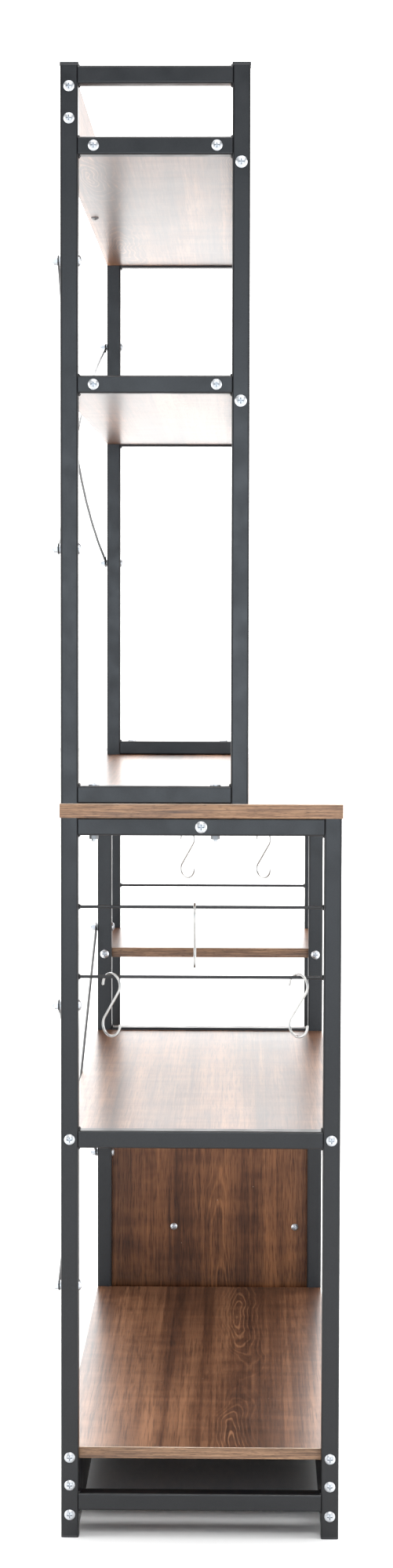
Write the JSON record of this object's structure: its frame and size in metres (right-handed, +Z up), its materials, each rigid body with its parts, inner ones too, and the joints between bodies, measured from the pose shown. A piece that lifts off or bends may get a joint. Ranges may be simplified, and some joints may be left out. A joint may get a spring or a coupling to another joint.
{
  "type": "kitchen shelf",
  "caption": "Free-standing kitchen shelf: black square-tube stand with a walnut-look counter and open bays, a shallower braced hutch above it, and S-hooks on rods at both ends.",
  "frame": {"origin": "on the floor, at the middle of the rectangle that the six feet stand on", "axes": "+Z up, +X along the length from the hook-rod end nearest the camera to the far end, +Y towards the braced back"},
  "size_m": [1.2094, 0.3736, 1.84],
  "materials": {
    "black_steel": "satin black powder coat",
    "walnut_board": "dark walnut laminate with a paler edge band",
    "zinc_fasteners": "bright zinc plate",
    "bright_hooks": "bright nickel plate",
    "black_plastic": "moulded black plastic",
    "brass_inserts": "plain brass"
  },
  "bodies": {
    "rack": {"back_kick_beam": "black_steel", "bar_bolts": "zinc_fasteners", "brace_bolts": "zinc_fasteners", "brace_washers": "zinc_fasteners", "counter_support_bar": "black_steel", "counter_top": "walnut_board", "foot_plugs": "black_plastic", "front_kick_beam": "black_steel", "hex_nuts": "zinc_fasteners", "hutch_back_board": "walnut_board", "hutch_left_back_post": "black_steel", "hutch_left_base_rail": "black_steel", "hutch_left_front_post": "black_steel", "hutch_left_shelf_rails": "black_steel", "hutch_left_top_rail": "black_steel", "hutch_lower_front_bar": "black_steel", "hutch_lower_shelf": "walnut_board", "hutch_mount_bolts": "zinc_fasteners", "hutch_right_back_post": "black_steel", "hutch_right_base_rail": "black_steel", "hutch_right_front_post": "black_steel", "hutch_right_shelf_rails": "black_steel", "hutch_right_top_rail": "black_steel", "hutch_upper_front_bar": "black_steel", "hutch_upper_shelf": "walnut_board", "left_back_post": "black_steel", "left_bottom_board": "walnut_board", "left_bottom_rail": "black_steel", "left_front_post": "black_steel", "left_hook_rods": "black_steel", "left_shelf": "walnut_board", "left_shelf_rail": "black_steel", "left_top_rail": "black_steel", "long_bolts": "zinc_fasteners", "lower_brace_inner": "black_steel", "lower_brace_outer": "black_steel", "middle_back_post": "black_steel", "middle_front_post": "black_steel", "middle_shelf_rail": "black_steel", "middle_side_panel": "walnut_board", "middle_top_rail": "black_steel", "panel_screws": "zinc_fasteners", "post_caps": "black_plastic", "right_back_post": "black_steel", "right_bottom_rail": "black_steel", "right_front_post": "black_steel", "right_hook_rods": "black_steel", "right_inner_shelf": "walnut_board", "right_shelf": "walnut_board", "right_side_panel": "walnut_board", "right_top_rail": "black_steel", "shelf_bolts": "zinc_fasteners", "threaded_inserts": "brass_inserts", "upper_brace_inner": "black_steel", "upper_brace_outer": "black_steel"},
    "left_upper_hook": {"left_upper_hook": "bright_hooks"},
    "left_back_hook": {"left_back_hook": "bright_hooks"},
    "left_front_hook": {"left_front_hook": "bright_hooks"},
    "right_back_hook": {"right_back_hook": "bright_hooks"},
    "right_front_hook": {"right_front_hook": "bright_hooks"}
  },
  "joints": [
    {"name": "left_upper_hook_swing", "type": "hinge", "parent": "rack", "child": "left_upper_hook", "pos_m": [-0.589, 0.00796, 0.8], "axis": [0, 1, 0], "range_deg": [-80, 80]},
    {"name": "left_back_hook_swing", "type": "hinge", "parent": "rack", "child": "left_back_hook", "pos_m": [-0.589, 0.112, 0.712], "axis": [0, 1, 0], "range_deg": [-80, 80]},
    {"name": "left_front_hook_swing", "type": "hinge", "parent": "rack", "child": "left_front_hook", "pos_m": [-0.589, -0.12209, 0.712], "axis": [0, 1, 0], "range_deg": [-80, 80]},
    {"name": "right_back_hook_swing", "type": "hinge", "parent": "rack", "child": "right_back_hook", "pos_m": [0.589, 0.04162, 0.8], "axis": [0, 1, 0], "range_deg": [-80, 80]},
    {"name": "right_front_hook_swing", "type": "hinge", "parent": "rack", "child": "right_front_hook", "pos_m": [0.589, -0.08446, 0.8], "axis": [0, 1, 0], "range_deg": [-80, 80]}
  ]
}
